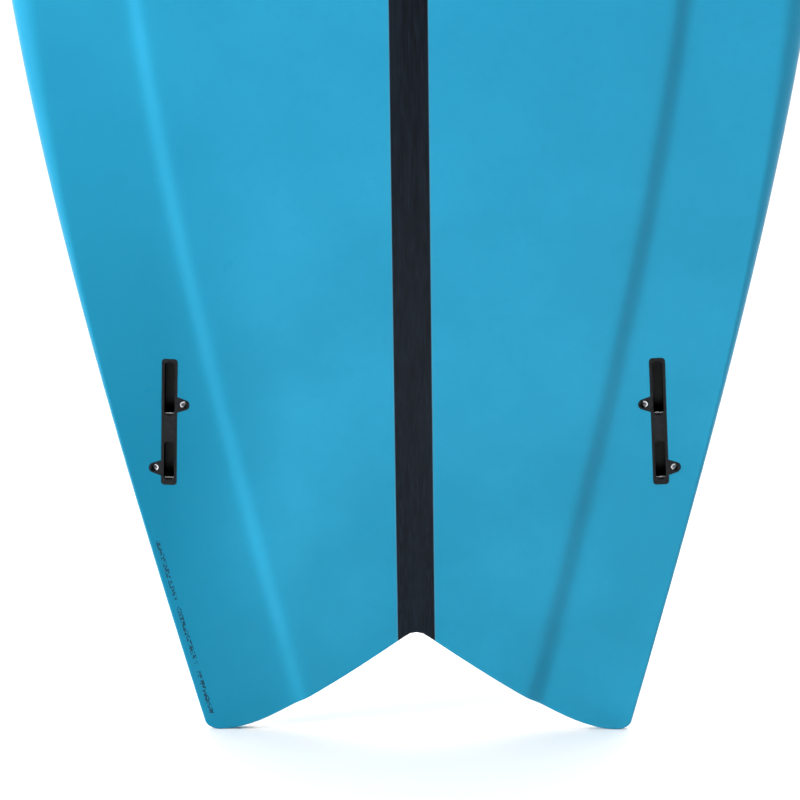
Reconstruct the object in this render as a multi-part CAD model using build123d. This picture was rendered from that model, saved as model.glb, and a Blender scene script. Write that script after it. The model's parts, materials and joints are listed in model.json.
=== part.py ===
from build123d import *
import math
import os

import numpy as np

# A twin-fin swallow-tail shortboard, standing on its two tail tips with the nose up.
# Z runs from the tail tips to the nose, X across the board and Y through its thickness:
# the bottom faces -Y and the deck faces +Y. Millimetres.

# ---- Board ----
LENGTH = 1727.0                # 5 ft 8 in, tail tips to nose
SKIN = 1.0                     # glass and resin over the foam
NOSE_FILL = 6.0                # solid resin between the foam's nose and the tip
NOSE_FLAT = 0.5                # the tip is sanded off this far short of a point
OVERRUN = 40.0                 # the untrimmed board runs this far past its tail tips
WIDE_HEIGHT = 800.0            # height of the flattest part of the rocker
TAIL_ROCKER, TAIL_POWER = 48.0, 2.15
NOSE_ROCKER, NOSE_POWER = 114.0, 2.4
MIDDLE_Y = 59.5                # half the depth that the rocker and the thickness take up

# Height over the tail tips, then half width or centre thickness
HALF_WIDTHS = [(-OVERRUN, 131.5), (0, 141.8), (150, 179.7), (300, 214.9), (460, 245.8),
               (650, 268.0), (880, 276.5), (1100, 267.0), (1300, 238.0), (1450, 199.0),
               (1570, 149.0), (1660, 93.0), (LENGTH, 0)]
THICKNESSES = [(-OVERRUN, 9.5), (0, 15.0), (73, 24.5), (160, 33.5), (300, 46.0), (500, 59.0),
               (850, 67.0), (1150, 63.0), (1350, 53.0), (1500, 42.0), (1600, 31.0),
               (1680, 18.5), (LENGTH, 0)]
STATIONS = [-OVERRUN, 30, 100, 180, 280, 400, 550, 720, 900, 1070, 1220, 1350, 1460, 1550, 1620,
            1665, 1695, 1713]  # sections that the foam and the skin are lofted through
LAST_STEP = 3.0                # from the last section but one to the end of the loft

# ---- Rails: hard-edged at the tail, round from the middle on, and thinner towards the nose ----
SOFT_FROM, SOFT_TO = 150.0, 1000.0
POINTED_FROM = 1200.0
KNEE_TAIL, KNEE_SOFT, KNEE_NOSE = 0.012, 0.15, 0.2      # how far in the lower curve starts
APEX_TAIL, APEX_SOFT, APEX_NOSE = 0.27, 0.11, 0.1       # how high the widest point is
APEX_LEAST = 0.1

# ---- Bottom contour: a raised middle panel with a soft step down to a panel beside each rail ----
STEP_DROP = 4.0
STEP_HALF_BAND = 9.0
STEP_INSET, STEP_SPREAD = 69.0, 0.021      # from the rail, at the tail and per mm of height
STEP_FULL_TO, STEP_GONE_AT = 620.0, 1180.0
STEP_INNERMOST, STEP_NARROWEST = 0.5, 0.13 # limits near the nose, as shares of the width

# ---- Swallow tail ----
NOTCH_DEPTH = 73.0
NOTCH_RADIUS = 11.0
NOTCH_ANGLE = 36.5             # slope of the notch's sides beside its rounded apex
NOTCH_SIDE = [(50.0, 39.8), (82.0, 19.4)]  # from the apex outwards
TIP_X = 133.6                  # the lowest point of each tail tip
TIP_RADIUS = 9.0
TIP_CLEAR = 0.05               # the saw's path leaves the rail this far outside it

# ---- Laminate ----
LAP = 42.0                     # the bottom glass wraps round the rail onto the deck this far
LAP_TAIL, LAP_NOSE = 46.0, 1672.0          # where the lap crosses the tail's horns, and the nose
LAP_HORN = 12.0                # the flat end that the deck glass has on each horn
LAP_HEIGHTS = [LAP_TAIL, 200, 500, 850, 1200, 1450, 1600]
STRIP_WIDTH = 25.4
STRIP_DEPTH = 0.5
STRIP_TOP = 1700.0             # the carbon strips stop this far up, under the nose's resin
STRINGER_WIDTH = 4.0

# ---- Fin boxes: x to the nose, y to the centre line, z out of the bottom ----
FIN_X, FIN_HEIGHT = 159.6, 221.5
TOE_IN = 2.4
BOX_LENGTH, BOX_WIDTH, BOX_DEPTH = 88.0, 10.4, 17.0
BOX_CORNER = 2.4
CAVITY_WIDTH, CAVITY_DEPTH, CAVITY_CORNER = 6.8, 14.0, 2.6
CAVITIES = [(4.5, 41.8), (-40.5, -13.5)]   # rear and front end of each
EARS = [(12.3, 1), (-32.2, -1)]            # place along the box, and 1 for the inner side
EAR_OFFSET, EAR_RADIUS, EAR_DEPTH = 9.5, 3.7, 11.0
EAR_ROOT, EAR_SHOULDER = 4.2, 10.6         # where its flanks start, inside the body, and end
EAR_FOOT, EAR_TIP = 5.8, 3.5   # half its length along the box, at the root and at the shoulder
SCREW_TILT = 30.0
SCREW_RADIUS, SCREW_LENGTH, SCREW_SUNK = 2.45, 5.5, 1.5
SCREW_HOLE_RADIUS, SCREW_HOLE_LENGTH = 2.5, 13.0
SCREW_CHAMFER = 0.35
SOCKET_FLATS, SOCKET_DEPTH = 2.5, 2.4
BARB = (2.2, 6.0, 2.4)         # along, across and deep
BARB_OUT = 1.1                 # how far a barb stands out of its pocket at rest
BARB_LEVEL = 4.2               # depth of a barb's middle
BARB_POCKET, BARB_PLAY = 2.4, 0.08
BARB_MOUTH = 0.3               # the pocket clears the cavity's round corners this far past the barb
BARB_ROUND = 0.6
INSERT = (110.0, 34.0, 21.0)   # high-density foam round a fin box
INSERT_CORNER = 6.0

# ---- Leash cup, on the deck beside the stringer ----
CUP_X, CUP_HEIGHT = 33.0, 150.0
CUP_RADIUS, CUP_DEPTH = 14.3, 19.0
CUP_FLANGE_RADIUS, CUP_FLANGE, CUP_PROUD = 17.5, 1.8, 0.5
CUP_SUNK, CUP_ROUND = 0.4, 0.45
CUP_HOLLOW_RADIUS, CUP_HOLLOW_DEPTH = 11.0, 15.0
CUP_PIN_RADIUS, CUP_PIN_LENGTH, CUP_PIN_LEVEL = 2.0, 26.0, 5.5
CUP_INSERT_RADIUS, CUP_INSERT_DEPTH = 23.0, 22.0

ELLIPSE = 0.5523               # a cubic curve's handle for a quarter of an ellipse
DECK_RAIL, DECK_CROWN = 0.52, 0.62         # the deck curve's handles, at the rail and the crown
DEEP = 4 * MIDDLE_Y            # deeper than the board, for what cuts right through it
PAST = 4.0                     # how far a cutting tool runs past a face


def smooth_curve(points):
    """A natural cubic spline through (height, value) pairs, taken along the square root of the
    distance from the nose, so that every size comes to a rounded tip there."""
    along = np.array([math.sqrt(LENGTH - height) for height, _ in reversed(points)])
    value = np.array([size for _, size in reversed(points)], float)
    gap = np.diff(along)
    count = len(points)
    matrix = np.eye(count)
    right = np.zeros(count)
    for i in range(1, count - 1):
        matrix[i, i - 1:i + 2] = gap[i - 1], 2 * (gap[i - 1] + gap[i]), gap[i]
        right[i] = 6 * ((value[i + 1] - value[i]) / gap[i] - (value[i] - value[i - 1]) / gap[i - 1])
    bend = np.linalg.solve(matrix, right)

    def read(height):
        at = math.sqrt(max(LENGTH - height, 0))
        i = min(max(int(np.searchsorted(along, at)) - 1, 0), count - 2)
        a, b, h = along[i + 1] - at, at - along[i], gap[i]
        curved = (bend[i] * a ** 3 + bend[i + 1] * b ** 3) / (6 * h)
        return float(curved + (value[i] / h - bend[i] * h / 6) * a
                     + (value[i + 1] / h - bend[i + 1] * h / 6) * b)

    return read


half_width = smooth_curve(HALF_WIDTHS)
thickness = smooth_curve(THICKNESSES)


def ease(value, start, end):
    """0 before start, 1 after end, and a smooth rise between."""
    share = min(max((value - start) / (end - start), 0), 1)
    return share * share * (3 - 2 * share)


def rocker(height):
    """Y of the bottom on the centre line."""
    tail = max(WIDE_HEIGHT - height, 0) / WIDE_HEIGHT
    nose = max(height - WIDE_HEIGHT, 0) / (LENGTH - WIDE_HEIGHT)
    return TAIL_ROCKER * tail ** TAIL_POWER + NOSE_ROCKER * nose ** NOSE_POWER - MIDDLE_Y


def slope(curve, height):
    return (curve(height + 1) - curve(height - 1)) / 2


def step_drop(height):
    return STEP_DROP * (1 - ease(height, STEP_FULL_TO, STEP_GONE_AT))


def section(height, inset):
    """The board's closed outline at a height, moved in by inset all round: a flat middle panel, a
    soft step to each outer panel, each rail's lower curve and the two halves of the deck."""
    width = half_width(height) - inset
    from_rail = min(STEP_INSET + STEP_SPREAD * height, STEP_INNERMOST * half_width(height))
    step = half_width(height) - from_rail
    band = min(STEP_HALF_BAND, STEP_NARROWEST * step)
    low = rocker(height) + inset
    panel = low + step_drop(height)
    top = rocker(height) + thickness(height) - inset
    soft = ease(height, SOFT_FROM, SOFT_TO)
    pointed = ease(height, POINTED_FROM, LENGTH)
    knee = width * (1 - KNEE_TAIL - KNEE_SOFT * soft - KNEE_NOSE * pointed)
    rise = APEX_TAIL + APEX_SOFT * soft + APEX_NOSE * pointed
    apex = max(rocker(height) + thickness(height) * rise, panel + APEX_LEAST * (top - panel))

    def point(x, y):
        return (x, y, height)

    def half(side):
        """The curves from the middle panel's edge round to the crown, on one side."""
        near = side * (step - band)
        middle = side * step
        far = side * (step + band)
        foot = side * knee
        edge = side * width
        bulge = foot + (edge - foot) * ELLIPSE
        return [
            Bezier(point(near, low), point(middle, low), point(middle, panel), point(far, panel)),
            Line(point(far, panel), point(foot, panel)),
            Bezier(point(foot, panel), point(bulge, panel),
                   point(edge, apex - (apex - panel) * ELLIPSE), point(edge, apex)),
            Bezier(point(edge, apex), point(edge, apex + (top - apex) * DECK_RAIL),
                   point(edge * DECK_CROWN, top), point(0, top)),
        ]

    middle_panel = Line(point(band - step, low), point(step - band, low))
    return make_face(Wire([middle_panel] + half(1) + half(-1)))


def blank(inset, stop):
    """The untrimmed board, lofted from past the tail to the height stop."""
    last = stop - LAST_STEP
    heights = [height for height in STATIONS if height < last] + [last, stop]
    return loft([section(height, inset) for height in heights])


def through(face):
    """A face drawn in X and Z, carried right through the board's thickness."""
    return extrude(face.moved(Location((0, -DEEP / 2, 0))), DEEP, dir=(0, 1, 0))


def tail_waste(grow=0):
    """What the saw takes off below the swallow tail, in X and Z: grow more for what lies inside."""
    turn = math.radians(NOTCH_ANGLE)
    radius = NOTCH_RADIUS + grow
    apex = (0, 0, NOTCH_DEPTH + grow)
    side_top = (radius * math.sin(turn), 0, NOTCH_DEPTH - NOTCH_RADIUS + radius * math.cos(turn))
    side = [(x + grow * math.sin(turn), 0, z + grow * math.cos(turn)) for x, z in NOTCH_SIDE]
    tip = (TIP_X, 0, grow)
    shoulder = (half_width(TIP_RADIUS) - grow + TIP_CLEAR, 0, TIP_RADIUS)
    outside = (2 * TIP_X, 0, TIP_RADIUS)
    below = (outside[0], 0, -2 * OVERRUN)
    lean = (math.cos(turn), 0, -math.sin(turn))
    half = [
        Spline(apex, side_top, tangents=[(1, 0, 0), lean]),
        Spline(side_top, *side, tip, tangents=[lean, (1, 0, 0)]),
        Spline(tip, shoulder, tangents=[(1, 0, 0), (slope(half_width, 0), 0, 1)]),
        Line(shoulder, outside),
        Line(outside, below),
    ]
    floor = Line(below, (-below[0], 0, below[2]))
    return make_face(Wire(half + [floor] + [edge.mirror(Plane.YZ) for edge in half]))


def deck_patch():
    """The deck glass, inside the cut lap of the bottom glass, in X and Z."""
    rail = [(half_width(height) - LAP, 0, height) for height in LAP_HEIGHTS]
    horn = (rail[0][0] - LAP_HORN, 0, LAP_TAIL)
    apex = (0, 0, NOTCH_DEPTH + LAP)
    nose = (0, 0, LAP_NOSE)
    up = (slope(half_width, LAP_TAIL), 0, 1)
    half = [
        Line(apex, horn),
        Line(horn, rail[0]),
        Spline(*rail, nose, tangents=[up, (-1, 0, 0)]),
    ]
    return make_face(Wire(half + [edge.mirror(Plane.YZ) for edge in half]))


def slab(width, top):
    """An upright slab on the centre line."""
    return Pos(0, 0, top / 2) * Box(width, DEEP, top)


def half_space(side):
    """Everything on one side of the stringer."""
    return Pos(side * (LENGTH + STRINGER_WIDTH) / 2, 0, LENGTH / 2) * Box(LENGTH, DEEP, LENGTH)


def disc(radius, depth, top=0):
    """A cylinder down from the height top."""
    return Pos(0, 0, top) * Cylinder(radius, depth, align=(Align.CENTER, Align.CENTER, Align.MAX))


def mirrored(piece, side):
    """A piece of the right side, or its twin on the left."""
    return piece if side > 0 else piece.mirror(Plane.YZ)


def on_side(solid, deck):
    """The sheet of a skin that lies on the deck, or on the bottom."""
    return solid.solids().sort_by(Axis.Y)[-1 if deck else 0]


def fin_seat():
    """The right fin box's frame."""
    out = Vector(0, -1, slope(rocker, FIN_HEIGHT)).normalized()
    toe = math.radians(TOE_IN)
    along = Vector(-math.sin(toe), 0, math.cos(toe))
    along = (along - out * along.dot(out)).normalized()
    return Plane(origin=(FIN_X, rocker(FIN_HEIGHT) + STEP_DROP, FIN_HEIGHT), x_dir=along, z_dir=out)


def box_outside(extra=0):
    """A fin box with no hollows: its body and two ears, reaching extra out of the board."""
    outline = RectangleRounded(BOX_LENGTH, BOX_WIDTH, BOX_CORNER)
    body = Pos(0, 0, -BOX_DEPTH) * extrude(outline, BOX_DEPTH + extra)
    for along, side in EARS:
        root = side * EAR_ROOT
        shoulder = side * EAR_SHOULDER
        corners = [(along - EAR_FOOT, root), (along - EAR_TIP, shoulder),
                   (along + EAR_TIP, shoulder), (along + EAR_FOOT, root)]
        flank = extrude(make_face(Polyline(*corners, close=True)), EAR_DEPTH + extra, dir=(0, 0, 1))
        body += Pos(0, 0, -EAR_DEPTH) * flank
        ear = Cylinder(EAR_RADIUS, EAR_DEPTH + extra, align=(Align.CENTER, Align.CENTER, Align.MIN))
        body += Pos(along, side * EAR_OFFSET, -EAR_DEPTH) * ear
    return body


def screw_axis(along, side):
    """A grub screw's frame: z runs in along its axis from the box's face."""
    tilt = math.radians(SCREW_TILT)
    inward = (0, -side * math.sin(tilt), -math.cos(tilt))
    return Plane(origin=(along, side * EAR_OFFSET, 0), x_dir=(1, 0, 0), z_dir=inward)


def barb_pocket(rear):
    """The slot that a barb slides in, from past its front end."""
    _, width, height = BARB
    length = BARB_POCKET + BARB_OUT + BARB_MOUTH
    slot = Box(length, width + 2 * BARB_PLAY, height + 2 * BARB_PLAY)
    return Pos(rear - BARB_POCKET + length / 2, 0, -BARB_LEVEL) * slot


def fin_box():
    box = box_outside()
    for rear, front in CAVITIES:
        outline = RectangleRounded(front - rear, CAVITY_WIDTH, CAVITY_CORNER)
        hollow = extrude(outline, CAVITY_DEPTH + PAST)
        box -= Pos((front + rear) / 2, 0, -CAVITY_DEPTH) * hollow
        box -= barb_pocket(rear)
    for along, side in EARS:
        hole = disc(SCREW_HOLE_RADIUS, SCREW_HOLE_LENGTH + PAST, SCREW_HOLE_LENGTH)
        box -= screw_axis(along, side) * hole
    return box


def grub_screw(along, side):
    screw = Cylinder(SCREW_RADIUS, SCREW_LENGTH, align=(Align.CENTER, Align.CENTER, Align.MIN))
    screw = chamfer(screw.edges().filter_by(GeomType.CIRCLE), SCREW_CHAMFER)
    socket = extrude(RegularPolygon(SOCKET_FLATS / 2, 6, major_radius=False), SOCKET_DEPTH)
    return screw_axis(along, side) * Pos(0, 0, SCREW_SUNK) * (screw - socket)


def barb(rear):
    length, width, height = BARB
    block = Box(length, width, height)
    block = fillet(block.edges().filter_by(Axis.Y).group_by(Axis.X)[-1], BARB_ROUND)
    return Pos(rear + BARB_OUT - length / 2, 0, -BARB_LEVEL) * block


def box_insert():
    length, width, depth = INSERT
    return Pos(0, 0, -depth) * extrude(RectangleRounded(length, width, INSERT_CORNER), depth + PAST)


def cup_seat():
    """The leash cup's frame: z out of the deck."""
    def deck(height):
        return rocker(height) + thickness(height)

    out = Vector(0, 1, -slope(deck, CUP_HEIGHT)).normalized()
    return Plane(origin=(CUP_X, deck(CUP_HEIGHT) - CUP_SUNK, CUP_HEIGHT), x_dir=(1, 0, 0), z_dir=out)


def cup_pin():
    return Pos(0, 0, -CUP_PIN_LEVEL) * Cylinder(CUP_PIN_RADIUS, CUP_PIN_LENGTH, rotation=(0, 90, 0))


def cup_outside():
    return disc(CUP_RADIUS, CUP_DEPTH) + disc(CUP_FLANGE_RADIUS, CUP_FLANGE + CUP_PROUD, CUP_PROUD)


def leash_cup():
    cup = cup_outside() - disc(CUP_HOLLOW_RADIUS, CUP_HOLLOW_DEPTH + CUP_PROUD, CUP_PROUD)
    rim = cup.edges().filter_by(GeomType.CIRCLE).group_by(Axis.Z)[-1]
    return fillet(rim, CUP_ROUND) - cup_pin()


def glassing(outer, inner, fin_holes, cup_hole):
    """The carbon strips, the deck glass inside its cut lap, and the bottom glass."""
    glass = outer - inner
    under = blank(STRIP_DEPTH, LENGTH - NOSE_FLAT - STRIP_DEPTH) - through(tail_waste())
    strips = (outer - under) & slab(STRIP_WIDTH, STRIP_TOP)
    bottom_strip = on_side(strips, False)
    deck_strip = on_side(strips, True)
    patch = on_side(glass & through(deck_patch()), True)
    return {
        "bottom_carbon_strip": bottom_strip,
        "deck_carbon_strip": deck_strip,
        "deck_laminate": patch - deck_strip - cup_hole,
        "bottom_laminate": glass - patch - bottom_strip - deck_strip - fin_holes,
    }


def fin_fittings(name):
    """A fin box with its grub screws and barbs, in the box's own frame."""
    fittings = {"fin_box_" + name: fin_box()}
    for (along, ear), (rear, _), end in zip(EARS, CAVITIES, ("front", "rear")):
        fittings[f"grub_screw_{end}_{name}"] = grub_screw(along, ear)
        fittings[f"fin_barb_{end}_{name}"] = barb(rear)
    return fittings


def build():
    """Every piece by its node's name."""
    outer = blank(0, LENGTH - NOSE_FLAT) - through(tail_waste())
    inner = blank(SKIN, LENGTH - NOSE_FILL) - through(tail_waste(SKIN))
    seat = fin_seat().location
    fin_hole = seat * box_outside(PAST)
    fin_holes = fin_hole + mirrored(fin_hole, -1)
    cup = cup_seat().location
    cup_hole = cup * cup_outside()
    pieces = glassing(outer, inner, fin_holes, cup_hole)

    middle = slab(STRINGER_WIDTH, LENGTH)
    cup_insert = (cup * disc(CUP_INSERT_RADIUS, CUP_INSERT_DEPTH, PAST) & inner) - cup_hole - middle
    pieces["stringer"] = inner & middle
    pieces["leash_cup_insert"] = cup_insert
    pieces["leash_cup"] = cup * leash_cup()
    pieces["leash_pin"] = cup * cup_pin()

    insert = (seat * box_insert() & inner) - fin_hole
    for side, name in ((1, "right"), (-1, "left")):
        own_insert = mirrored(insert, side)
        pieces["fin_box_insert_" + name] = own_insert
        foam = (inner & half_space(side)) - own_insert - fin_holes
        pieces["foam_core_" + name] = foam - cup_insert - cup_hole if side > 0 else foam
        for node, piece in fin_fittings(name).items():
            pieces[node] = mirrored(seat * piece, side)
    return pieces


def main():
    os.makedirs("parts", exist_ok=True)
    for node, piece in build().items():
        export_step(piece, f"parts/{node}.step")


main()
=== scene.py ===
import bpy
import json, math
import numpy as np
from mathutils import Matrix, Vector


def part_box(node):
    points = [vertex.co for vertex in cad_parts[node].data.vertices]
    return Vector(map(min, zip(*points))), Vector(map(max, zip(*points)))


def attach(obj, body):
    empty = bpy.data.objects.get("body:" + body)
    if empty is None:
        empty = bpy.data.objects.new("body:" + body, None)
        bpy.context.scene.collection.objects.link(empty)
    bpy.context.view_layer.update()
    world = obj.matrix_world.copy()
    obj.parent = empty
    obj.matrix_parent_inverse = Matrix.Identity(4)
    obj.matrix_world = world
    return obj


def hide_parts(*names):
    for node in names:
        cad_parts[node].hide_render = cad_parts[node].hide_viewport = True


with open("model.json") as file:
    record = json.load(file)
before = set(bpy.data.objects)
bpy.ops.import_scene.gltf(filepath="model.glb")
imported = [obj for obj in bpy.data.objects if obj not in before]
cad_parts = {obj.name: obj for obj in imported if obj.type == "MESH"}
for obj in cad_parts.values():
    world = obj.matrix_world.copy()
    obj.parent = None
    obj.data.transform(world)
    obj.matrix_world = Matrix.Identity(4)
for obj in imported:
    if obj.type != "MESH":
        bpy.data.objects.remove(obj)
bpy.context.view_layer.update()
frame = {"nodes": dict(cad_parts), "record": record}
nodes = frame["nodes"]
print("frame loaded:", len(nodes), "nodes")

# the skin is drawn from the shaper's numbers, because a glossy board needs one smooth surface
boardLines = {  # metres; z runs from the tail tips to the nose
    "length": 1.727, "middleY": 0.0595, "noseFlat": 0.0005,
    "wideHeight": 0.8, "tailRocker": 0.048, "tailPower": 2.15, "noseRocker": 0.114, "nosePower": 2.4,
    "halfWidths": [(-0.04, 0.1315), (0, 0.1418), (0.15, 0.1797), (0.3, 0.2149), (0.46, 0.2458),
                   (0.65, 0.268), (0.88, 0.2765), (1.1, 0.267), (1.3, 0.238), (1.45, 0.199),
                   (1.57, 0.149), (1.66, 0.093), (1.727, 0)],
    "thicknesses": [(-0.04, 0.0095), (0, 0.015), (0.073, 0.0245), (0.16, 0.0335), (0.3, 0.046),
                    (0.5, 0.059), (0.85, 0.067), (1.15, 0.063), (1.35, 0.053), (1.5, 0.042),
                    (1.6, 0.031), (1.68, 0.0185), (1.727, 0)],
    "stepDrop": 0.004, "stepHalfBand": 0.009, "stepInset": 0.069, "stepSpread": 0.021,
    "stepFullTo": 0.62, "stepGoneAt": 1.18, "stepInnermost": 0.5, "stepNarrowest": 0.13,
    "softFrom": 0.15, "softTo": 1.0, "pointedFrom": 1.2,
    "knee": (0.012, 0.15, 0.2), "apex": (0.27, 0.11, 0.1), "apexLeast": 0.1,  # tail, soft, nose
    "notchDepth": 0.073, "notchRadius": 0.011, "notchAngle": 36.5,
    "notchSide": [(0.05, 0.0398), (0.082, 0.0194)], "tipX": 0.1336, "tipRadius": 0.009,
    "deckRail": 0.52, "deckCrown": 0.62,
}
skinSettings = {
    "thickness": 0.001, "lap": 0.042, "lapNose": 1.672, "stripHalf": 0.0127, "stripTop": 1.7,
    "deckEdge": 0.003, "bottomEdge": 0.0006,        # rounding of the tail's cut edge
    "edgeLimit": 0.4,                               # of the thickness there
    "rows": 150, "edgeRows": 4, "noseClosing": 1.7,
    "rowSpacing": (1.04, 0.96),                     # row spacing in the tail half and the nose half
    "bottomCounts": (3, 9, 9, 12, 12),              # columns: strip, middle panel, step, outer, rail
    "lapColumns": 4,                                # outer panel columns inside the lap line
    "lapLeast": 0.45, "spacedBy": 0.09, "noseBy": 0.02, "weld": 0.000002,
    "seatReach": 0.004, "cupSides": 96, "cupReach": 0.02, "smoothAngle": 35,
}
ellipse = 0.5523                                    # a cubic handle for a quarter of an ellipse


# natural spline along the square root of the distance from the nose
def smoothCurve(points):
    length = boardLines["length"]
    along = np.array([math.sqrt(length - z) for z, _ in reversed(points)])
    value = np.array([size for _, size in reversed(points)], float)
    gap = np.diff(along)
    count = len(points)
    matrix = np.eye(count)
    right = np.zeros(count)
    for i in range(1, count - 1):
        matrix[i, i - 1:i + 2] = gap[i - 1], 2 * (gap[i - 1] + gap[i]), gap[i]
        right[i] = 6 * ((value[i + 1] - value[i]) / gap[i] - (value[i] - value[i - 1]) / gap[i - 1])
    bend = np.linalg.solve(matrix, right)

    def read(z):
        at = np.sqrt(np.maximum(length - z, 0))
        i = np.clip(np.searchsorted(along, at) - 1, 0, count - 2)
        a, b, h = along[i + 1] - at, at - along[i], gap[i]
        curved = (bend[i] * a ** 3 + bend[i + 1] * b ** 3) / (6 * h)
        straight = (value[i] / h - bend[i] * h / 6) * a + (value[i + 1] / h - bend[i + 1] * h / 6) * b
        return curved + straight

    return read


halfWidth = smoothCurve(boardLines["halfWidths"])
thickness = smoothCurve(boardLines["thicknesses"])


def ease(value, start, end):
    share = np.clip((value - start) / (end - start), 0, 1)
    return share * share * (3 - 2 * share)


def rocker(z):
    s = boardLines
    tail = np.maximum(s["wideHeight"] - z, 0) / s["wideHeight"]
    nose = np.maximum(z - s["wideHeight"], 0) / (s["length"] - s["wideHeight"])
    rise = s["tailRocker"] * tail ** s["tailPower"] + s["noseRocker"] * nose ** s["nosePower"]
    return rise - s["middleY"]


# the step's middle, half its width, and its drop
def stepLines(z):
    s = boardLines
    width = halfWidth(z)
    middle = width - np.minimum(s["stepInset"] + s["stepSpread"] * z, s["stepInnermost"] * width)
    band = np.minimum(s["stepHalfBand"], s["stepNarrowest"] * middle)
    return middle, band, s["stepDrop"] * (1 - ease(z, s["stepFullTo"], s["stepGoneAt"]))


# where the rail's curve starts, and the Y of its widest point
def railLines(z):
    s = boardLines
    soft = ease(z, s["softFrom"], s["softTo"])
    pointed = ease(z, s["pointedFrom"], s["length"])
    knee = halfWidth(z) * (1 - s["knee"][0] - s["knee"][1] * soft - s["knee"][2] * pointed)
    apex = rocker(z) + thickness(z) * (s["apex"][0] + s["apex"][1] * soft + s["apex"][2] * pointed)
    panel = rocker(z) + stepLines(z)[2]
    return knee, np.maximum(apex, panel + s["apexLeast"] * (rocker(z) + thickness(z) - panel))


def cubic(t, a, b, c, d):
    return a * (1 - t) ** 3 + 3 * b * t * (1 - t) ** 2 + 3 * c * t * t * (1 - t) + d * t ** 3


# X and Y on the bottom: part counts the stretches from the middle line to the rail
def bottomColumn(part, t, z):
    width = halfWidth(z)
    step, band, drop = stepLines(z)
    knee, apex = railLines(z)
    low = rocker(z)
    panel = low + drop
    strip = np.minimum(skinSettings["stripHalf"], 0.8 * (step - band))
    if part == 0:
        return strip * t, low
    if part == 1:
        return strip + (step - band - strip) * t, low
    if part == 2:
        return cubic(t, step - band, step, step, step + band), cubic(t, low, low, panel, panel)
    if part == 3:
        return step + band + (knee - step - band) * t, panel
    bulge = knee + (width - knee) * ellipse
    rise = apex - (apex - panel) * ellipse
    return cubic(t, knee, bulge, width, width), cubic(t, panel, panel, rise, apex)


deckTable = np.linspace(0, 1, 4001) ** 2      # finer beside the rail, where the curve stands up
deckShare = cubic(deckTable, 1, 1, boardLines["deckCrown"], 0)
deckRise = cubic(deckTable, 0, boardLines["deckRail"], 1, 1)


def deckY(x, z):
    _, apex = railLines(z)
    top = rocker(z) + thickness(z)
    share = np.clip(x / halfWidth(z), 0, 1)
    return apex + (top - apex) * np.interp(share, deckShare[::-1], deckRise[::-1])


# Z of the swallow tail's cut, at a distance x from the middle line
def tailLine(x):
    s = boardLines
    turn = math.radians(s["notchAngle"])
    arcX = s["notchRadius"] * math.sin(turn)
    arcZ = s["notchDepth"] - s["notchRadius"] * (1 - math.cos(turn))
    knots = [(arcX, arcZ)] + s["notchSide"] + [(s["tipX"], 0)]
    px, pz = np.array(knots).T
    gap = np.diff(px)
    matrix, right = np.zeros((4, 4)), np.zeros(4)
    matrix[0, :2] = 2 * gap[0], gap[0]
    right[0] = 6 * ((pz[1] - pz[0]) / gap[0] + math.tan(turn))
    matrix[3, 2:] = gap[2], 2 * gap[2]
    right[3] = 6 * (0 - (pz[3] - pz[2]) / gap[2])
    for i in (1, 2):
        matrix[i, i - 1:i + 2] = gap[i - 1], 2 * (gap[i - 1] + gap[i]), gap[i]
        right[i] = 6 * ((pz[i + 1] - pz[i]) / gap[i] - (pz[i] - pz[i - 1]) / gap[i - 1])
    bend = np.linalg.solve(matrix, right)
    i = np.clip(np.searchsorted(px, x) - 1, 0, 2)
    a, b, h = px[i + 1] - x, x - px[i], gap[i]
    side = ((bend[i] * a ** 3 + bend[i + 1] * b ** 3) / (6 * h)
            + (pz[i] / h - bend[i] * h / 6) * a + (pz[i + 1] / h - bend[i + 1] * h / 6) * b)
    arc = s["notchDepth"] - s["notchRadius"] + np.sqrt(np.maximum(s["notchRadius"] ** 2 - x * x, 0))
    reach = halfWidth(s["tipRadius"]) - s["tipX"]
    out = np.clip((x - s["tipX"]) / reach, 0, 1)
    tip = s["tipRadius"] * (1 - np.sqrt(1 - out * out))
    return np.where(x < arcX, arc, np.where(x < s["tipX"], side, tip))


# the height at which a column meets the tail's cut, by halving
def tailStart(column):
    low, high = -0.005, 0.08
    for _ in range(40):
        middle = (low + high) / 2
        if middle < float(tailLine(np.array(column(middle)))):
            low = middle
        else:
            high = middle
    return (low + high) / 2


# bottom and deck columns from the middle line to the rail, with their starts at the tail
def boardColumns():
    counts = skinSettings["bottomCounts"]
    places = []
    for part, count in enumerate(counts):
        shares = np.arange(count) / count
        if part == 3:
            shares = np.sin(shares * math.pi / 2)
        places += [(part, share) for share in shares]
    places.append((4, 1.0))
    starts = [tailStart(lambda z, p=part, t=share: bottomColumn(p, t, z)[0]) for part, share in places]
    return places, np.array(starts)


# a deck column: the bottom column's at the tail, and spaced by the lap line further up
def deckX(index, places, start, z):
    part, share = places[index]
    own = bottomColumn(part, share, z)[0]
    strips = skinSettings["bottomCounts"][0]
    if index <= strips:
        return own
    lapIndex = lapColumn()
    last = len(places) - 1
    strip = bottomColumn(1, 0, z)[0]
    free = halfWidth(z) - strip
    lapX = strip + np.maximum(free - skinSettings["lap"], skinSettings["lapLeast"] * free)
    if index <= lapIndex:
        even = strip + (lapX - strip) * (index - strips) / (lapIndex - strips)
    else:
        turn = math.pi / 2 * (index - lapIndex) / (last - lapIndex)
        even = lapX + (halfWidth(z) - lapX) * math.sin(turn)
    top = boardLines["length"] - boardLines["noseFlat"]
    spaced = ease(z - start, 0.0, skinSettings["spacedBy"])
    return own + (even - own) * spaced * (1 - ease(z, top - skinSettings["noseBy"], top))


def lapColumn():
    return sum(skinSettings["bottomCounts"][:3]) + skinSettings["lapColumns"]


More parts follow.
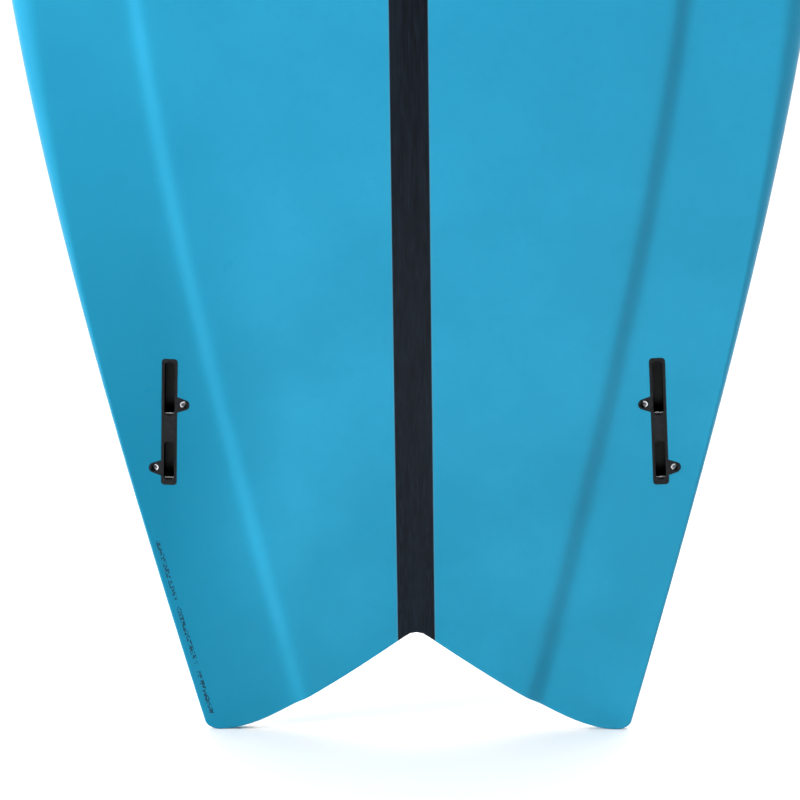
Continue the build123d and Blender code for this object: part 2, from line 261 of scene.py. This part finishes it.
# the whole outside as one closed sheet: a grid wrapped round the board from the deck's middle
def boardForm():
    places, starts = boardColumns()
    last = len(places) - 1
    top = boardLines["length"] - boardLines["noseFlat"]
    rows, edgeRows = skinSettings["rows"], skinSettings["edgeRows"]
    share = np.arange(rows) / (rows - 1)
    tailRows, noseRows = skinSettings["rowSpacing"]
    share = np.where(share < 0.5, share * tailRows, 0.5 * tailRows + (share - 0.5) * noseRows)
    # the rows close up towards the nose, as the widths there go with the square root
    climb = 1 - (1 - share / share[-1]) ** skinSettings["noseClosing"]
    edge = np.linspace(0, math.pi / 2, edgeRows + 1)[:-1]
    deckEdge, bottomEdge = skinSettings["deckEdge"], skinSettings["bottomEdge"]
    ring = []
    for deck in (True, False):
        for index in range(last + 1):
            part, t = places[index]
            start = starts[index]
            rounded = start + deckEdge * (1 - np.cos(edge))
            z = np.concatenate([rounded, start + deckEdge + (top - start - deckEdge) * climb])
            if deck:
                x = deckX(index, places, start, z)
                y = deckY(x, z)
            else:
                x, y = bottomColumn(part, t, z)
            thick = deckY(bottomColumn(part, t, z)[0], z) - bottomColumn(part, t, z)[1]
            most = skinSettings["edgeLimit"] * np.maximum(thick, 0)
            radius = np.minimum(deckEdge if deck else bottomEdge, most)
            lift = np.zeros_like(z)
            if deck:
                lift[:edgeRows] = radius[:edgeRows] * (1 - np.sin(edge))
            else:
                far = np.clip((z[:edgeRows] - start) / bottomEdge, 0, 1)
                lift[:edgeRows] = -radius[:edgeRows] * (1 - np.sqrt(1 - (1 - far) ** 2))
            ring.append((x, y - lift, z))
    decks, bottoms = ring[:last + 1], ring[last + 1:]
    meet = []                                       # Y where deck and bottom close, at tail and nose
    for (_, deckYs, _), (_, bottomYs, _) in zip(decks, bottoms):
        meet.append([(deckYs[i] + bottomYs[i]) / 2 for i in (0, -1)])
    loop = [(decks[i], meet[i], -1) for i in range(last + 1)]
    loop += [(bottoms[i], meet[i], -1) for i in range(last - 1, 0, -1)]
    loop += [(bottoms[i], meet[i], 1) for i in range(last)]
    loop += [(decks[i], meet[i], 1) for i in range(last, -1, -1)]
    columns = len(loop)
    rowCount = rows + edgeRows + 2
    bpy.ops.object.select_all(action="DESELECT")
    bpy.ops.mesh.primitive_grid_add(x_subdivisions=columns - 1, y_subdivisions=rowCount - 1, size=1)
    form = bpy.context.object
    grid = np.zeros((rowCount, columns, 3))
    for c, ((x, y, z), (tailY, noseY), side) in enumerate(loop):
        grid[1:-1, c] = np.stack([side * x, y, z], axis=1)
        grid[0, c] = side * x[0], tailY, z[0]
        grid[-1, c] = side * x[-1], noseY, z[-1]
    form.data.vertices.foreach_set("co", grid.reshape(-1))
    form.data.update()
    sortFaces(form, grid, last)
    bpy.ops.object.mode_set(mode="EDIT")
    bpy.ops.mesh.select_all(action="SELECT")
    bpy.ops.mesh.remove_doubles(threshold=skinSettings["weld"])
    bpy.ops.mesh.normals_make_consistent(inside=False)
    bpy.ops.object.mode_set(mode="OBJECT")
    return form


skinPieces = ["bottomSkin", "deckSkin", "bottomStrip", "deckStrip"]


# gives each face the material index of the piece it belongs to
def sortFaces(form, grid, last):
    strips, lap = skinSettings["bottomCounts"][0], lapColumn()
    columns, rowCount = grid.shape[1] - 1, grid.shape[0] - 1
    column = np.arange(columns)
    fromDeckMiddle = np.minimum(column, columns - 1 - column)
    fromBottomMiddle = np.where(column < 2 * last, 2 * last - 1 - column, column - 2 * last)
    z = grid[:, 0, 2]
    piece = np.zeros((rowCount, columns), int)
    patchRows = (z[:-1] - z[0] > skinSettings["lap"]) & (z[1:] < skinSettings["lapNose"])
    stripRows = (np.arange(rowCount) > 0) & (z[1:] < skinSettings["stripTop"])
    patch = (fromDeckMiddle >= strips) & (fromDeckMiddle < lap)
    piece[np.ix_(patchRows, patch)] = 1
    piece[np.ix_(stripRows, fromBottomMiddle < strips)] = 2
    piece[np.ix_(stripRows, fromDeckMiddle < strips)] = 3
    for name in skinPieces:
        form.data.materials.append(bpy.data.materials.new(name))
    form.data.polygons.foreach_set("material_index", piece.reshape(-1).astype(np.int32))


def onlySelect(piece):
    bpy.ops.object.select_all(action="DESELECT")
    piece.select_set(True)
    bpy.context.view_layer.objects.active = piece


def applyModifier(piece, kind, **values):
    onlySelect(piece)
    modifier = piece.modifiers.new(kind.title(), kind)
    for key, value in values.items():
        setattr(modifier, key, value)
    bpy.ops.object.modifier_apply(modifier=modifier.name)


# the outer edge of a CAD node's flat face, as points in order
def outerLoop(node, origin, axis):
    mesh = nodes[node].data
    keys = [tuple(round(c, 6) for c in v.co) for v in mesh.vertices]
    used = {}
    for face in mesh.polygons:
        flat = abs(face.normal.dot(axis)) > 0.999 and abs((face.center - origin).dot(axis)) < 0.00005
        if flat:
            corners = [keys[i] for i in face.vertices]
            for a, b in zip(corners, corners[1:] + corners[:1]):
                used[(a, b)] = True
    follow = {a: b for a, b in used if (b, a) not in used}
    loops = []
    while follow:
        start = next(iter(follow))
        points = [start]
        while points[-1] in follow:
            points.append(follow.pop(points[-1]))
        loops.append(points[:-1])
    return max(loops, key=lambda points: max((Vector(p) - Vector(points[0])).length for p in points))


# a solid of the fin box's outline that reaches through the skin
def seatCutter(side):
    mount = [m for m in frame["record"]["mounts"] if m["name"] == "fin_seat_" + side][0]
    axis = Vector(mount["axis"])
    points = outerLoop("fin_box_" + side, Vector(mount["pos_m"]), axis)
    bpy.ops.object.select_all(action="DESELECT")
    bpy.ops.mesh.primitive_circle_add(vertices=len(points), fill_type="NGON")
    cutter = bpy.context.object
    below = axis * -skinSettings["seatReach"]       # as far inside the skin as it then reaches out
    cutter.data.vertices.foreach_set("co", [c for p in points for c in Vector(p) + below])
    cutter.data.update()
    bpy.ops.object.mode_set(mode="EDIT")
    bpy.ops.mesh.select_all(action="SELECT")
    bpy.ops.mesh.extrude_region_move(TRANSFORM_OT_translate={"value": below * -2})
    bpy.ops.mesh.select_all(action="SELECT")
    bpy.ops.mesh.normals_make_consistent(inside=False)
    bpy.ops.object.mode_set(mode="OBJECT")
    return cutter


def cupCutter():
    low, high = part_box("leash_cup")
    middle = (Vector(low) + Vector(high)) / 2
    bpy.ops.object.select_all(action="DESELECT")
    radius = (high[0] - low[0]) / 2
    bpy.ops.mesh.primitive_cylinder_add(vertices=skinSettings["cupSides"], radius=radius,
                                        depth=skinSettings["cupReach"],
                                        location=(middle[0], high[1], middle[2]),
                                        rotation=(math.pi / 2, 0, 0))
    return bpy.context.object


def buildSkins():
    form = boardForm()
    onlySelect(form)
    bpy.ops.object.mode_set(mode="EDIT")
    bpy.ops.mesh.select_all(action="SELECT")
    bpy.ops.mesh.separate(type="MATERIAL")
    bpy.ops.object.mode_set(mode="OBJECT")
    pieces = {}
    for piece in list(bpy.context.selected_objects):
        index = min(piece.data.polygons[0].material_index, len(piece.data.materials) - 1)
        name = piece.data.materials[index].name
        piece.name = piece.data.name = name
        pieces[name] = piece
    for name, piece in pieces.items():
        depth = skinSettings["thickness"] * (0.5 if "Strip" in name else 1)
        applyModifier(piece, "SOLIDIFY", thickness=depth, offset=-1, use_even_offset=False)
    cuts = [(seatCutter("left"), "bottomSkin"), (seatCutter("right"), "bottomSkin"),
            (cupCutter(), "deckSkin")]
    for cutter, name in cuts:
        applyModifier(pieces[name], "BOOLEAN", operation="DIFFERENCE", solver="EXACT", object=cutter)
        bpy.data.objects.remove(cutter)
    for piece in pieces.values():
        piece.data.materials.clear()
        onlySelect(piece)
        bpy.ops.object.shade_smooth_by_angle(angle=math.radians(skinSettings["smoothAngle"]))
    return pieces


skins = buildSkins()
for name, node in (("bottomSkin", "bottom_laminate"), ("deckSkin", "deck_laminate"),
                   ("bottomStrip", "bottom_carbon_strip"), ("deckStrip", "deck_carbon_strip")):
    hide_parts(node)
    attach(skins[name], "board")
    print(name, len(skins[name].data.polygons), "faces")


# an empty group with named sockets: (name, kind, default) in, (name, kind) out
def shaderGroup(name, inputs, outputs):
    group = bpy.data.node_groups.new(name, "ShaderNodeTree")
    for socket, kind, value in inputs:
        made = group.interface.new_socket(socket, in_out="INPUT", socket_type="NodeSocket" + kind)
        made.default_value = value
    for socket, kind in outputs:
        group.interface.new_socket(socket, in_out="OUTPUT", socket_type="NodeSocket" + kind)
    return group, group.nodes.new("NodeGroupInput"), group.nodes.new("NodeGroupOutput")


# a node with its settings, and its inputs given as values or as sockets to join
def add(tree, kind, links=None, **values):
    node = tree.nodes.new("ShaderNode" + kind)
    for key, value in values.items():
        setattr(node, key, value)
    for key, value in (links or {}).items():
        if isinstance(value, bpy.types.NodeSocket):
            tree.links.new(value, node.inputs[key])
        else:
            node.inputs[key].default_value = value
    return node


def calc(tree, operation, a, b=0.0):
    return add(tree, "Math", {0: a, 1: b}, operation=operation).outputs[0]


# a value carried from one range to another, and held inside it
def spread(tree, value, low, high, toLow=0.0, toHigh=1.0):
    links = {"Value": value, "From Min": low, "From Max": high, "To Min": toLow, "To Max": toHigh}
    return add(tree, "MapRange", links).outputs[0]


def blend(tree, share, a, b):
    node = add(tree, "Mix", data_type="RGBA")
    for socket, value in ((node.inputs[0], share), (node.inputs[6], a), (node.inputs[7], b)):
        if isinstance(value, bpy.types.NodeSocket):
            tree.links.new(value, socket)
        else:
            socket.default_value = value
    return node.outputs[2]


def objectPlace(tree, scale=(1, 1, 1)):
    place = add(tree, "TexCoord").outputs["Object"]
    return add(tree, "Mapping", {"Vector": place, "Scale": scale}).outputs[0]


# small changes of gloss and height: handling marks and the tool's finish
def fineWearGroup():
    inputs = [("Scale", "Float", 60.0), ("Roughness", "Float", 0.3), ("Change", "Float", 0.08)]
    group, start, end = shaderGroup("fineWear", inputs, [("Roughness", "Float"), ("Height", "Float")])
    place = add(group, "TexCoord").outputs["Object"]
    scale = start.outputs["Scale"]
    cloud = add(group, "TexNoise", {"Vector": place, "Scale": scale, "Detail": 6.0}).outputs[0]
    fine = calc(group, "MULTIPLY", scale, 18.0)
    grain = add(group, "TexNoise", {"Vector": place, "Scale": fine, "Detail": 3.0}).outputs[0]
    swing = calc(group, "MULTIPLY", calc(group, "SUBTRACT", cloud, 0.5), 2.0)
    change = calc(group, "MULTIPLY", swing, start.outputs["Change"])
    rough = calc(group, "ADD", start.outputs["Roughness"], change)
    group.links.new(rough, end.inputs["Roughness"])
    soft = calc(group, "MULTIPLY", cloud, 0.4)
    height = calc(group, "ADD", soft, calc(group, "MULTIPLY", grain, 0.6))
    group.links.new(height, end.inputs["Height"])
    return group


# 1 along worn outer edges, broken up by noise
def edgeWearGroup():
    inputs = [("Scale", "Float", 400.0), ("Amount", "Float", 0.5)]
    group, start, end = shaderGroup("edgeWear", inputs, [("Mask", "Float")])
    point = add(group, "NewGeometry").outputs["Pointiness"]
    place = add(group, "TexCoord").outputs["Object"]
    scale = start.outputs["Scale"]
    noise = add(group, "TexNoise", {"Vector": place, "Scale": scale, "Detail": 4.0}).outputs[0]
    edge = spread(group, point, 0.52, 0.6)
    worn = calc(group, "MULTIPLY", edge, spread(group, noise, 0.4, 0.65))
    group.links.new(calc(group, "MULTIPLY", worn, start.outputs["Amount"]), end.inputs["Mask"])
    return group


fineWear, edgeWear = fineWearGroup(), edgeWearGroup()


def newMaterial(name):
    material = bpy.data.materials.new(name)
    material.use_nodes = True
    tree = material.node_tree
    tree.nodes.clear()
    shader = add(tree, "BsdfPrincipled")
    out = add(tree, "OutputMaterial")
    tree.links.new(shader.outputs[0], out.inputs["Surface"])
    return material, tree, shader


def placeGroup(tree, group, **values):
    node = add(tree, "Group", node_tree=group)
    for key, value in values.items():
        node.inputs[key].default_value = value
    return node


def bump(tree, shader, height, strength, distance):
    node = add(tree, "Bump", {"Strength": strength, "Distance": distance, "Height": height})
    tree.links.new(node.outputs[0], shader.inputs["Normal"])


# in resin, the teal colour and its X and Z spans are painted shade: a dark reflection on the left side
# towards the tail, painted into the colour
resin = {
    "upper": (0.018, 0.296, 0.504, 1), "lower": (0.010, 0.236, 0.382, 1),
    "mottle": (0.022, 0.336, 0.552, 1), "paintedShade": (0.0, 0.184, 0.314, 1), "speck": (0.006, 0.2, 0.34, 1),
    "roughness": 0.3, "coat": 0.05, "coatRoughness": 0.08, "specular": 0.12,
    "upperFrom": 0.62, "paintedShadeX": (-0.08, -0.165), "paintedShadeZ": (0.55, 0.2),
    "clouds": 9.0, "cloudAmount": 0.55, "specks": 160.0, "speckAmount": 0.12,
    "wearScale": 22.0, "wearChange": 0.06, "bump": (0.06, 0.0004),
    "ink": (0.004, 0.012, 0.02, 1),
    "markLow": 0.012, "markHigh": 0.142, "markInset": 0.0064, "markHalf": 0.0015,
    "letters": 620.0, "words": 21.0,                # marks per metre
    "letterStretch": (1.5, 1.0, 1.0), "letterEdge": (0.47, 0.55), "wordShare": 0.9, "inkAmount": 0.85,
}


# tinted resin over glass, darker towards the tail and softly mottled; the teal on the left rail towards
# the tail is painted shade, a dark reflection painted into the colour
def resinMaterial():
    material, tree, shader = newMaterial("tintedResin")
    place = objectPlace(tree)
    split = add(tree, "SeparateXYZ", {0: place})
    x, z = split.outputs[0], split.outputs[2]
    height = spread(tree, z, 0.0, resin["upperFrom"])
    body = blend(tree, height, resin["lower"], resin["upper"])
    cloud = add(tree, "TexNoise", {"Vector": place, "Scale": resin["clouds"], "Detail": 5.0}).outputs[0]
    mottle = spread(tree, cloud, 0.42, 0.72, 0.0, resin["cloudAmount"])
    body = blend(tree, mottle, body, resin["mottle"])
    # painted shade: teal mixed in towards the left rail and the tail, standing for a dark reflection
    # there
    paintedShadeMask = calc(tree, "MULTIPLY", spread(tree, x, *resin["paintedShadeX"]), spread(tree, z, *resin["paintedShadeZ"]))
    body = blend(tree, paintedShadeMask, body, resin["paintedShade"])
    speck = add(tree, "TexNoise", {"Vector": place, "Scale": resin["specks"], "Detail": 4.0}).outputs[0]
    specks = spread(tree, speck, 0.5, 0.8, 0.0, resin["speckAmount"])
    body = blend(tree, specks, body, resin["speck"])
    body = blend(tree, railMarks(tree, x, z), body, resin["ink"])
    tree.links.new(body, shader.inputs["Base Color"])
    wear = placeGroup(tree, fineWear, Scale=resin["wearScale"], Roughness=resin["roughness"],
                      Change=resin["wearChange"])
    tree.links.new(wear.outputs["Roughness"], shader.inputs["Roughness"])
    shader.inputs["Specular IOR Level"].default_value = resin["specular"]
    shader.inputs["Coat Weight"].default_value = resin["coat"]
    shader.inputs["Coat Roughness"].default_value = resin["coatRoughness"]
    bump(tree, shader, wear.outputs["Height"], *resin["bump"])
    return material


# a row of small broken marks beside the left rail, near the tail, that spell nothing
def railMarks(tree, x, z):
    s = resin
    low, high = s["markLow"], s["markHigh"]
    rail = spread(tree, z, low, high, float(halfWidth(low)), float(halfWidth(high)))
    fromRail = calc(tree, "SUBTRACT", calc(tree, "ADD", x, rail), s["markInset"])
    line = calc(tree, "LESS_THAN", calc(tree, "ABSOLUTE", fromRail), s["markHalf"])
    place = objectPlace(tree, s["letterStretch"])
    letter = add(tree, "TexNoise", {"Vector": place, "Scale": s["letters"], "Detail": 1.0}).outputs[0]
    word = calc(tree, "FRACT", calc(tree, "MULTIPLY", z, s["words"]))
    limits = [calc(tree, "GREATER_THAN", z, low), calc(tree, "LESS_THAN", z, high),
              spread(tree, letter, *s["letterEdge"]), calc(tree, "LESS_THAN", word, s["wordShare"])]
    marks = line
    for limit in limits:
        marks = calc(tree, "MULTIPLY", marks, limit)
    return calc(tree, "MULTIPLY", marks, s["inkAmount"])


carbon = {
    "dark": (0.0025, 0.005, 0.009, 1), "streak": (0.008, 0.013, 0.022, 1), "edge": (0.09, 0.30, 0.46, 1),
    "roughness": 0.24, "edgeWidth": 0.0007, "specular": 0.1, "coat": 0.04, "coatRoughness": 0.08,
    "fineStreaks": (900, 900, 9), "broadStreaks": (160, 160, 2.5), "broadAmount": 0.5,
    "wearScale": 30.0, "wearChange": 0.06, "bump": (0.05, 0.0003),
}


# one-way carbon under resin: fine streaks along the strip, and resin showing at its edges
def carbonMaterial():
    material, tree, shader = newMaterial("carbonTape")
    long = objectPlace(tree, carbon["fineStreaks"])
    streak = add(tree, "TexNoise", {"Vector": long, "Scale": 1.0, "Detail": 5.0}).outputs[0]
    wide = objectPlace(tree, carbon["broadStreaks"])
    broad = add(tree, "TexNoise", {"Vector": wide, "Scale": 1.0, "Detail": 3.0}).outputs[0]
    body = blend(tree, spread(tree, streak, 0.45, 0.75), carbon["dark"], carbon["streak"])
    bands = spread(tree, broad, 0.45, 0.75, 0.0, carbon["broadAmount"])
    body = blend(tree, bands, body, carbon["streak"])
    x = add(tree, "SeparateXYZ", {0: objectPlace(tree)}).outputs[0]
    half = skinSettings["stripHalf"]
    edge = spread(tree, calc(tree, "ABSOLUTE", x), half - carbon["edgeWidth"], half)
    body = blend(tree, edge, body, carbon["edge"])
    tree.links.new(body, shader.inputs["Base Color"])
    wear = placeGroup(tree, fineWear, Scale=carbon["wearScale"], Roughness=carbon["roughness"],
                      Change=carbon["wearChange"])
    tree.links.new(wear.outputs["Roughness"], shader.inputs["Roughness"])
    shader.inputs["Specular IOR Level"].default_value = carbon["specular"]
    shader.inputs["Coat Weight"].default_value = carbon["coat"]
    shader.inputs["Coat Roughness"].default_value = carbon["coatRoughness"]
    bump(tree, shader, streak, *carbon["bump"])
    return material


# moulded plastic with a fine grain and paler worn edges
def plasticMaterial(name, colour, worn, roughness, specular, scale):
    material, tree, shader = newMaterial(name)
    wear = placeGroup(tree, fineWear, Scale=scale, Roughness=roughness, Change=0.12)
    edge = placeGroup(tree, edgeWear, Scale=500.0, Amount=0.6)
    tree.links.new(blend(tree, edge.outputs[0], colour, worn), shader.inputs["Base Color"])
    tree.links.new(wear.outputs["Roughness"], shader.inputs["Roughness"])
    shader.inputs["Specular IOR Level"].default_value = specular
    bump(tree, shader, wear.outputs["Height"], 0.25, 0.0002)
    return material


steel = {"dark": (0.50, 0.51, 0.53, 1), "light": (0.78, 0.79, 0.80, 1)}


# stainless steel, turned and lightly scratched
def steelMaterial():
    material, tree, shader = newMaterial("stainlessSteel")
    across = objectPlace(tree, (300, 2600, 300))
    scratch = add(tree, "TexNoise", {"Vector": across, "Scale": 1.0, "Detail": 5.0}).outputs[0]
    body = blend(tree, spread(tree, scratch, 0.35, 0.7), steel["dark"], steel["light"])
    tree.links.new(body, shader.inputs["Base Color"])
    shader.inputs["Metallic"].default_value = 1.0
    wear = placeGroup(tree, fineWear, Scale=350.0, Roughness=0.26, Change=0.1)
    tree.links.new(wear.outputs["Roughness"], shader.inputs["Roughness"])
    bump(tree, shader, scratch, 0.12, 0.0001)
    return material


# closed-cell foam: packed beads with darker joints
def foamMaterial(name, light, dark, cell):
    material, tree, shader = newMaterial(name)
    links = {"Vector": objectPlace(tree), "Scale": cell}
    beads = add(tree, "TexVoronoi", links, feature="DISTANCE_TO_EDGE").outputs[0]
    tree.links.new(blend(tree, spread(tree, beads, 0.0, 0.12), dark, light), shader.inputs["Base Color"])
    wear = placeGroup(tree, fineWear, Scale=120.0, Roughness=0.85, Change=0.08)
    tree.links.new(wear.outputs["Roughness"], shader.inputs["Roughness"])
    bump(tree, shader, beads, 0.4, 0.0006)
    return material


wood = {"dark": (0.28, 0.15, 0.065, 1), "light": (0.52, 0.34, 0.17, 1)}


def woodMaterial():
    material, tree, shader = newMaterial("stringerWood")
    links = {"Vector": objectPlace(tree, (260, 260, 7)), "Scale": 1.0, "Detail": 7.0, "Distortion": 0.8}
    grain = add(tree, "TexNoise", links).outputs[0]
    body = blend(tree, spread(tree, grain, 0.35, 0.7), wood["dark"], wood["light"])
    tree.links.new(body, shader.inputs["Base Color"])
    wear = placeGroup(tree, fineWear, Scale=90.0, Roughness=0.6, Change=0.1)
    tree.links.new(wear.outputs["Roughness"], shader.inputs["Roughness"])
    bump(tree, shader, grain, 0.3, 0.0003)
    return material


def dress(piece, material):
    piece.data.materials.clear()
    piece.data.materials.append(material)


boxPlastic = {"colour": (0.0015, 0.002, 0.003, 1), "worn": (0.012, 0.015, 0.018, 1),
              "roughness": 0.38, "specular": 0.2, "scale": 90.0}
foamCore = {"light": (0.86, 0.87, 0.86, 1), "dark": (0.66, 0.68, 0.68, 1), "cell": 300.0}
denseFoam = {"light": (0.72, 0.64, 0.42, 1), "dark": (0.5, 0.43, 0.27, 1), "cell": 900.0}
finishes = {
    "blue_resin": resinMaterial(), "carbon": carbonMaterial(), "steel": steelMaterial(),
    "wood": woodMaterial(), "black_plastic": plasticMaterial("boxPlastic", **boxPlastic),
    "foam": foamMaterial("foamCore", **foamCore), "hard_foam": foamMaterial("denseFoam", **denseFoam),
}
for part in frame["record"]["subparts"]:
    dress(nodes[part["node"]], finishes[part["material_slot"]])
for name, piece in skins.items():
    dress(piece, finishes["carbon" if "Strip" in name else "blue_resin"])
print("materials done")

studio = {
    "floor": 16.0, "floorColour": (0.93, 0.93, 0.93, 1), "sky": 0.16,
    "target": (-0.0077, -0.0595, 0.2441), "distance": 2.547,
    "pitch": 15.5, "roll": -0.644, "yaw": -2.07, "lens": 178.2,
}
lights = {
    "key": {"place": (-3.0, -1.4, 1.3), "aim": (0, 0, 0.35), "size": (0.8, 1.2), "spread": 50,
            "power": 13.6},
    "fill": {"place": (2.6, -3.2, 1.2), "aim": (0, 0, 0.35), "size": (1.5, 1.5), "spread": 60,
             "power": 1.5},
    "floorLight": {"place": (0, 1.3, 3.4), "aim": (0, 1.3, 0), "size": (5.4, 5.2), "spread": 180,
                   "power": 274.0},
}


def addStudio():
    s = studio
    bpy.ops.object.select_all(action="DESELECT")
    bpy.ops.mesh.primitive_plane_add(size=s["floor"])
    floor = bpy.context.object
    floor.name = "floor"
    material, tree, shader = newMaterial("paleFloor")
    shader.inputs["Base Color"].default_value = s["floorColour"]
    shader.inputs["Roughness"].default_value = 0.9
    dress(floor, material)
    for name, light in lights.items():
        data = bpy.data.lights.new(name, "AREA")
        data.shape = "RECTANGLE"
        data.size, data.size_y = light["size"]
        data.energy = light["power"]
        data.spread = math.radians(light["spread"])
        lamp = bpy.data.objects.new(name, data)
        bpy.context.scene.collection.objects.link(lamp)
        lamp.location = light["place"]
        toAim = Vector(light["aim"]) - Vector(light["place"])
        lamp.rotation_euler = toAim.to_track_quat("-Z", "Y").to_euler()
    world = bpy.data.worlds.new("studioSky")
    world.use_nodes = True
    sky = world.node_tree.nodes["Background"]
    sky.inputs["Color"].default_value = (1, 1, 1, 1)
    sky.inputs["Strength"].default_value = s["sky"]
    bpy.context.scene.world = world
    bpy.context.scene.view_settings.view_transform = "Standard"


def addCamera():
    s = studio
    pitch, roll, yaw = (math.radians(s[turn]) for turn in ("pitch", "roll", "yaw"))
    level = math.cos(pitch)
    forward = Vector((math.sin(yaw) * level, math.cos(yaw) * level, -math.sin(pitch)))
    side = Vector((math.cos(yaw), -math.sin(yaw), 0))
    up = side.cross(forward)
    right = side * math.cos(roll) + up * math.sin(roll)
    over = up * math.cos(roll) - side * math.sin(roll)
    data = bpy.data.cameras.new("camera")
    data.lens, data.sensor_width = s["lens"], 36
    camera = bpy.data.objects.new("camera", data)
    bpy.context.scene.collection.objects.link(camera)
    axes = Matrix((right, over, -forward)).transposed().to_4x4()
    camera.matrix_world = Matrix.Translation(Vector(s["target"]) - forward * s["distance"]) @ axes
    bpy.context.scene.camera = camera


addStudio()
addCamera()
print("studio done")
